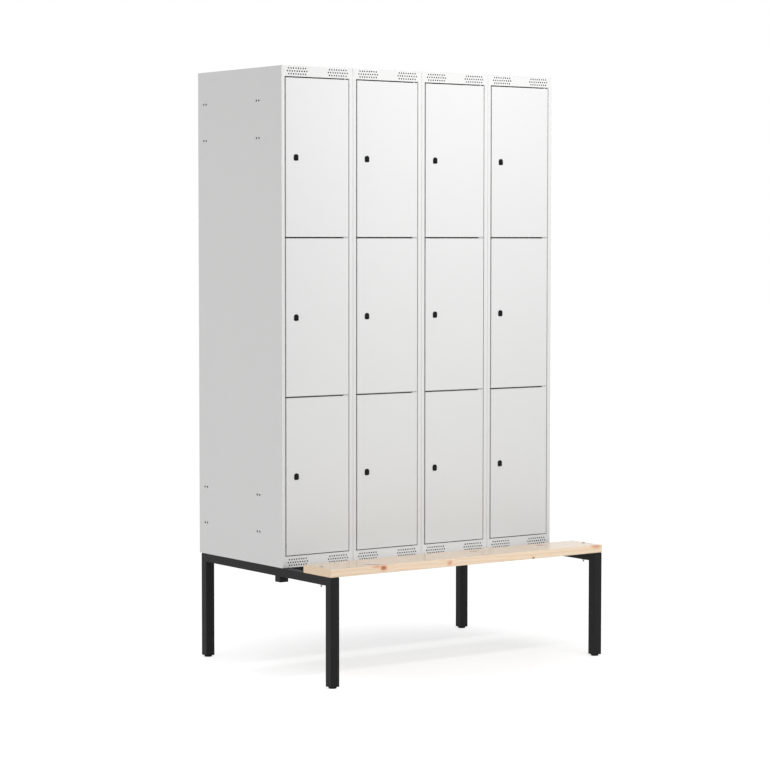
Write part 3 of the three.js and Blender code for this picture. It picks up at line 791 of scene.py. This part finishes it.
def vent_places(width, height):
    """Centres of the punched holes of the header and the plinth, each as its height and its place
    across: rows of even steps, each row centred on the longest."""
    places = []
    for start in VENT_GROUPS:
        for row, count in enumerate(VENT_ROWS):
            inset = (max(VENT_ROWS) - count) / 2 * VENT_PITCH
            across = start + inset + (np.arange(count) + 0.5) * VENT_PITCH
            up = VENT_MARGIN + (row + 0.5) * VENT_PITCH
            places += [(z, x) for x in across for z in (up, height - up)]
    return places


def module_body(size, outer_ends):
    """The body's outer and inner skin in its own corner's frame. The outer ends are the sides of
    the module, 0 left or 1 right, that are outer walls of the locker and have fixing holes."""
    width, depth, height = size
    vent_cells = [start + np.arange(0, max(VENT_ROWS) * 4 + 1) * VENT_PITCH / 4 for start in VENT_GROUPS]
    rows = VENT_MARGIN + np.arange(0, len(VENT_ROWS) * 4 + 1) * VENT_PITCH / 4
    half_hole = SIDE_HOLE_SPACING / 2
    hole_y = [middle + side * half_hole for middle in (SIDE_HOLE_FROM_FRONT, depth - SIDE_HOLE_FROM_BACK)
              for side in (-1, 1)]
    hole_z = [place for end in SIDE_HOLE_ENDS for place in (end, height - end)]
    doorway_low = (POST_LEFT, PLINTH)
    doorway_high = (width - POST_RIGHT, height - HEADER)
    lines = (
        merged_lines(band_lines(width, FOLD_RADIUS), *vent_cells,
                     [doorway_low[0] - DOORWAY_FOLD, doorway_high[0] + DOORWAY_FOLD]),
        merged_lines(band_lines(depth, FOLD_RADIUS), np.add.outer(hole_y, half_hole * EVEN_CELL)),
        merged_lines(band_lines(height, FOLD_RADIUS), rows, height - rows,
                     [doorway_low[1] - DOORWAY_FOLD, doorway_high[1] + DOORWAY_FOLD],
                     np.add.outer(hole_z, half_hole * EVEN_CELL)),
    )
    gap = (1, 0, tuple(np.subtract(doorway_low[::-1], DOORWAY_FOLD)),
           tuple(np.add(doorway_high[::-1], DOORWAY_FOLD)))
    holes = [(1, 0, place, VENT_PITCH / 2, EVEN_CELL, VENT_RADIUS) for place in vent_places(width, height)]
    holes += [(0, end, (y, z), half_hole, EVEN_CELL, SIDE_HOLE_RADIUS)
              for end in outer_ends for y in hole_y for z in hole_z]
    flat, wall_faces = box_walls(size, lines, [gap], holes)
    skins = []
    for depth_in in (0, SHEET):
        fold, fold_faces = doorway_fold(doorway_low, doorway_high, lines[0], lines[2], depth_in)
        skins.append(np.concatenate([rounded_box(flat, size, FOLD_RADIUS, depth_in), fold]))
    return walled(*welded(*skins, np.concatenate([wall_faces, fold_faces + len(flat)])))


body_paint = powder_coat("light_grey_powder_coat", BODY_PAINT, roughness=0.40, variation=0.012)
modules = sorted(name for name in frame["nodes"] if name.startswith("carcass_"))
for name in modules:
    low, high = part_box(name)
    outer_ends = [0] * (name == modules[0]) + [1] * (name == modules[-1])
    points, faces = module_body(tuple(high - low), outer_ends)
    add_piece(name.replace("carcass", "body"), points + np.array(low), faces, body_paint, "cabinet",
              "carcass_paint", name)


# Hinge tabs and pins
# Steel tabs welded to the right post stand in the gaps between the doors, and an upright pin goes
# through each into the doors above and below. The lowest and highest pin stand on the front frame.

PIN_RADIUS = 0.0025
PIN_REACH = 0.006
PIN_EASE = 0.0006
PIN_SIDES = 24
TAB_REACH = 0.010
TAB_DEPTH = 0.015
TAB_THICKNESS = 0.003
TAB_ABOVE_DOOR = 0.0005  # clearance between the tab and the door under it
TAB_NECK_SETBACK = 0.003
TAB_EASE = 0.0004
TAB_CORNER = 0.002
TAB_CORNER_STEPS = 4


def eased_levels(thickness, ease):
    """Levels through a plate whose edges are eased, each with how far its outline draws in."""
    return (0, ease), (ease, 0), (thickness - ease, 0), (thickness, ease)


def hinge_tab(pivot_x, front, door_right, post, underside):
    """A plate cut to an outline, which is carried from its underside to its top and draws in at
    both. The outline is the tab beside the pivot and its neck to the post."""
    left = pivot_x - TAB_REACH
    turn = np.radians(np.linspace(180, 270, TAB_CORNER_STEPS + 1))
    corner = np.stack([left + TAB_CORNER * (1 + np.cos(turn)), TAB_CORNER * (1 + np.sin(turn))], -1)
    outline = np.concatenate([corner, [(door_right, 0), (door_right, TAB_NECK_SETBACK),
                                       (post, TAB_NECK_SETBACK), (post, TAB_DEPTH), (left, TAB_DEPTH)]])
    centre = np.array([(left + post) / 2, TAB_DEPTH / 2])
    half = np.array([(post - left) / 2, TAB_DEPTH / 2])
    rings = []
    for height, draw in eased_levels(TAB_THICKNESS, TAB_EASE):
        drawn = centre + (outline - centre) * (1 - draw / half)
        level = np.full((len(outline), 1), underside + height)
        rings.append(np.concatenate([drawn + (0, front), level], 1))
    return capped(np.array(rings))


def hinge_pin(pivot, low, high):
    """Rings up a turned pin, whose ends are eased."""
    heights = [low, low + PIN_EASE, high - PIN_EASE, high]
    radii = [PIN_RADIUS - PIN_EASE, PIN_RADIUS, PIN_RADIUS, PIN_RADIUS - PIN_EASE]
    return capped(turned(pivot[0], pivot[1], heights, radii, PIN_SIDES))


pivots = {joint["child"]: joint["pos_m"] for joint in frame["joints"]}
for name in modules:
    number = name[-1]
    low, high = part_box(name)
    doors = [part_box(f"door_{number}_{tier}") for tier in ("top", "middle", "bottom")]
    pivot = pivots[f"door_{number}_top"]
    post = high.x - POST_RIGHT + SHEET
    parts = [hinge_pin(pivot, low.z + PLINTH - SHEET, doors[-1][0].z + PIN_REACH),
             hinge_pin(pivot, doors[0][1].z - PIN_REACH, high.z - HEADER + SHEET)]
    for above, below in zip(doors, doors[1:]):
        underside = below[1].z + TAB_ABOVE_DOOR
        parts.append(hinge_tab(pivot[0], low.y, above[1].x, post, underside))
        parts.append(hinge_pin(pivot, below[1].z - PIN_REACH, above[0].z + PIN_REACH))
    add_piece(f"hinges_{number}", *joined(*parts), body_paint, "cabinet", "carcass_paint", name)


# Shelves
# Two in each module, of the same painted sheet, which part its three compartments. The front edge
# folds down into a lip and back into a hem.

SHELF_HEM = 0.008
SHELF_FOLD = 0.0015
SHELF_EDGE_STEPS = 4


def folded_strip(corners, radius, depth):
    """A line of straight runs with an arc at each inner corner, moved aside by a depth. The arc's
    radius shrinks or grows by the depth as the line turns left or right."""
    corners = np.asarray(corners, float)
    points = []
    for before, corner, after in zip(corners, corners[1:], corners[2:]):
        enter = (corner - before) / np.linalg.norm(corner - before)
        leave = (after - corner) / np.linalg.norm(after - corner)
        side = np.sign(enter[0] * leave[1] - enter[1] * leave[0])
        normal_in = side * np.array([-enter[1], enter[0]])
        normal_out = side * np.array([-leave[1], leave[0]])
        centre = corner + radius * (normal_in + normal_out)
        turn = np.linspace(0, math.pi / 2, SHELF_EDGE_STEPS + 1)[:, None]
        spoke = np.cos(turn) * normal_in + np.sin(turn) * normal_out
        points.append(centre - (radius - side * depth) * spoke)
    first = corners[1] - corners[0]
    last = corners[-1] - corners[-2]
    start = corners[0] + depth * np.array([-first[1], first[0]]) / np.linalg.norm(first)
    end = corners[-1] + depth * np.array([-last[1], last[0]]) / np.linalg.norm(last)
    return np.concatenate([[start], *points, [end]])


def shelf(low, high):
    """The folded profile carried from the left wall to the right one."""
    corners = [(high.y, high.z), (low.y, high.z), (low.y, low.z), (low.y + SHELF_HEM, low.z)]
    skins = []
    for depth in (0, SHEET):
        profile = folded_strip(corners, SHELF_FOLD, depth)
        strip = np.empty((2, len(profile), 3))
        strip[..., 0] = [[low.x], [high.x]]
        strip[..., 1:] = profile
        skins.append(strip.reshape(-1, 3))
    count = len(profile)
    index = np.arange(count - 1)
    faces = np.stack([index, index + 1, index + 1 + count, index + count], -1)
    return walled(*skins, faces)


for name in sorted(frame["nodes"]):
    if name.startswith("shelf_"):
        points, faces = shelf(*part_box(name))
        add_piece(name.replace("shelf", "shelf_board"), points, faces, body_paint, "cabinet",
                  "carcass_paint", name)


# Doors
# Twelve folded sheet pans with light grey powder paint, open behind inside a narrow lip. Their top
# and bottom edges are drilled for the hinge pins, and the front for the lock.

DOOR_LIP = 0.012
DOOR_FOLD = 0.0011
PIVOT_CELL = 0.004
PIVOT_STEPS = np.array([-1, -0.25, 0, 0.25, 1])
PIN_CLEARANCE = 0.0004
LOCK_OPENING = 0.0073  # half width of the square hole for the lock
DOOR_PAINT = (0.735, 0.740, 0.735)


def door_pan(size, pivot, lock):
    """The pan's outer and inner skin in its own corner's frame: a rounded box with one side
    mostly open, two pin holes and the lock's square hole."""
    width, depth, height = size
    opening = [lock[0] - LOCK_OPENING, lock[0] + LOCK_OPENING]
    lines = (
        merged_lines(band_lines(width, DOOR_FOLD), [DOOR_LIP, width - DOOR_LIP], opening,
                     pivot[0] + PIVOT_CELL * PIVOT_STEPS),
        merged_lines(band_lines(depth, DOOR_FOLD), pivot[1] + PIVOT_CELL * PIVOT_STEPS),
        merged_lines(band_lines(height, DOOR_FOLD), [DOOR_LIP, height - DOOR_LIP],
                     [lock[1] - LOCK_OPENING, lock[1] + LOCK_OPENING]),
    )
    behind = (1, 1, (DOOR_LIP, DOOR_LIP), (height - DOOR_LIP, width - DOOR_LIP))
    lock_hole = (1, 0, (lock[1] - LOCK_OPENING, opening[0]), (lock[1] + LOCK_OPENING, opening[1]))
    pin_hole = PIN_RADIUS + PIN_CLEARANCE
    holes = [(2, end, pivot, PIVOT_CELL, PIVOT_STEPS, pin_hole) for end in (0, 1)]
    flat, faces = box_walls(size, lines, [behind, lock_hole], holes)
    skins = [rounded_box(flat, size, DOOR_FOLD, depth_in) for depth_in in (0, SHEET)]
    return walled(*welded(*skins, faces))


door_paint = powder_coat("door_powder_coat", DOOR_PAINT, roughness=0.36, variation=0.012)
doors = sorted(name for name in frame["nodes"] if name.startswith("door_"))
for name in doors:
    low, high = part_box(name)
    lock_low, lock_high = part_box(name.replace("door", "lock_housing"))
    lock_middle = (lock_low + lock_high) / 2 - low
    pivot = Vector(pivots[name]) - low
    points, faces = door_pan(tuple(high - low), (pivot.x, pivot.y), (lock_middle.x, lock_middle.z))
    add_piece(name.replace("door", "door_pan"), points + np.array(low), faces, door_paint, name,
              "door_paint", name)


# Lock housings
# Black moulded housings clipped in the doors: a face with a round top and an eased rim on the
# door's front, and a square neck behind it, bored for the barrel.

HOUSING_BOTTOM_RADIUS = 0.005
HOUSING_TOP_RADIUS = 0.0085
HOUSING_EDGE = 0.0009
HOUSING_STEPS = 11
NECK_HALF = 0.007
NECK_CORNER = 0.002
BARREL_RADIUS = 0.0054
BORE_RADIUS = 0.0058
COLLAR_RADIUS = 0.0068  # raised ring round the barrel
COLLAR_FLARE = 1.06  # how much wider its foot is
RIM_RINGS = 5
COLLAR_DROP = 0.0005


def paired_circle(count):
    """A unit circle whose even points pair, corner by corner, with those of a rounded outline."""
    angle = (np.arange(count) + 0.5) * 2 * math.pi / count - math.pi / 2
    return np.stack([np.cos(angle), np.sin(angle)], -1)


def in_depth(rings):
    """Puts outlines drawn in X and Z at their depths along Y."""
    return np.array([np.insert(outline, 1, depth, axis=1) for outline, depth in rings])


def lock_housing(low, high, door_front):
    """Closed rings from the neck's root out over the face's rim, across the face, down the bore
    and back over the neck. The rim's rings draw in by a quarter circle."""
    middle = (low + high) / 2
    face_low = np.array([low.x - middle.x, low.z - middle.z])
    face_high = -face_low
    radii = np.array([HOUSING_BOTTOM_RADIUS, HOUSING_TOP_RADIUS,
                      HOUSING_TOP_RADIUS, HOUSING_BOTTOM_RADIUS])
    neck = rounded_outline((-NECK_HALF, -NECK_HALF), (NECK_HALF, NECK_HALF), NECK_CORNER, HOUSING_STEPS)
    face = rounded_outline(face_low, face_high, radii, HOUSING_STEPS)
    circle = paired_circle(len(face))
    seat = door_front - TOUCH
    rings = [(neck, seat), (face, seat)]
    for turn in np.linspace(0, math.pi / 2, RIM_RINGS):
        draw = HOUSING_EDGE * (1 - math.cos(turn))
        drawn = rounded_outline(face_low + draw, face_high - draw, radii - draw, HOUSING_STEPS)
        rings.append((drawn, low.y + COLLAR_DROP + HOUSING_EDGE * (1 - math.sin(turn))))
    rings += [(COLLAR_RADIUS * COLLAR_FLARE * circle, low.y + COLLAR_DROP),
              (COLLAR_RADIUS * circle, low.y), (BORE_RADIUS * circle, low.y),
              (BORE_RADIUS * circle, high.y), (neck, high.y)]
    stacked = in_depth(rings)
    return stacked + (middle.x, 0, middle.z), loft(stacked, closed=True)[:, ::-1]


for name in doors:
    housing = name.replace("door", "lock_housing")
    points, faces = lock_housing(*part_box(housing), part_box(name)[0].y)
    add_piece(name.replace("door", "lock_case"), points, faces, plastic, name, "black_plastic", housing)


# Lock barrels and cams
# A black barrel with an upright key slot fills each housing. Behind the door a zinc-plated steel
# cam hangs from it while the lock is open, held by a hexagon screw.

KEY_SLOT = (0.0018, 0.007)
KEY_SLOT_DEPTH = 0.0012
BARREL_EASE = 0.0004
CAM_THICKNESS = 0.0015
CAM_EASE = 0.0003
CAM_SCREW_RADIUS = 0.004
CAM_SCREW_SIDES = 48
CAM_CORNER_STEPS = 4
SLOT_ROUND_SHARE = 0.6  # corner radius of the key slot over its half width
BARREL_TONE = (0.012, 0.012, 0.013)


def lock_barrel(x, z, front, cam_front):
    """Rings from the key slot's floor up its wall, across the barrel's face and back along its side."""
    half = np.array(KEY_SLOT) / 2
    slot = rounded_outline(-half, half, half[0] * SLOT_ROUND_SHARE, HOUSING_STEPS)
    circle = paired_circle(len(slot))
    rings = [(slot, front + KEY_SLOT_DEPTH), (slot, front),
             ((BARREL_RADIUS - BARREL_EASE) * circle, front),
             (BARREL_RADIUS * circle, front + BARREL_EASE), (BARREL_RADIUS * circle, cam_front)]
    points, faces = capped(in_depth(rings) + (x, 0, z))
    return points, [face[::-1] for face in faces]


def lock_cam(x, z, low, high, cam_front):
    """A rounded strip carried through the plate's thickness, and on it a hexagon screw head, whose
    corners are cut off at its face."""
    plate = []
    corner = (high.x - low.x) / 4
    for depth, draw in eased_levels(CAM_THICKNESS, CAM_EASE):
        outline = rounded_outline((low.x + draw, low.z + draw), (high.x - draw, high.z - draw),
                                  corner - draw, CAM_CORNER_STEPS)
        plate.append((outline, cam_front + depth))
    angle = np.linspace(0, 2 * math.pi, CAM_SCREW_SIDES, endpoint=False)
    hexagon, flat = hexagon_reach(CAM_SCREW_RADIUS, CAM_SCREW_SIDES)
    screw = []
    for depth, reach in ((cam_front + CAM_THICKNESS, hexagon), (high.y - CAM_EASE, hexagon),
                         (high.y, np.minimum(hexagon, flat))):
        screw.append((np.stack([x + reach * np.cos(angle), z + reach * np.sin(angle)], -1), depth))
    points, faces = joined(capped(in_depth(plate)), capped(in_depth(screw)))
    return points, [face[::-1] for face in faces]


barrel_plastic = moulded_plastic("barrel_black", BARREL_TONE, roughness=0.30, shine=0.12)
for name in doors:
    barrel = name.replace("door", "lock_barrel")
    body = name.replace("door", "lock")
    low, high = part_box(barrel)
    housing_low, housing_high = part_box(name.replace("door", "lock_housing"))
    middle = (housing_low + housing_high) / 2
    cam_front = housing_high.y + TOUCH
    add_piece(name.replace("door", "key_barrel"), *lock_barrel(middle.x, middle.z, low.y, cam_front),
              barrel_plastic, body, "lock_metal", barrel)
    add_piece(name.replace("door", "lock_cam"), *lock_cam(middle.x, middle.z, low, high, cam_front),
              zinc, body, "zinc", barrel)
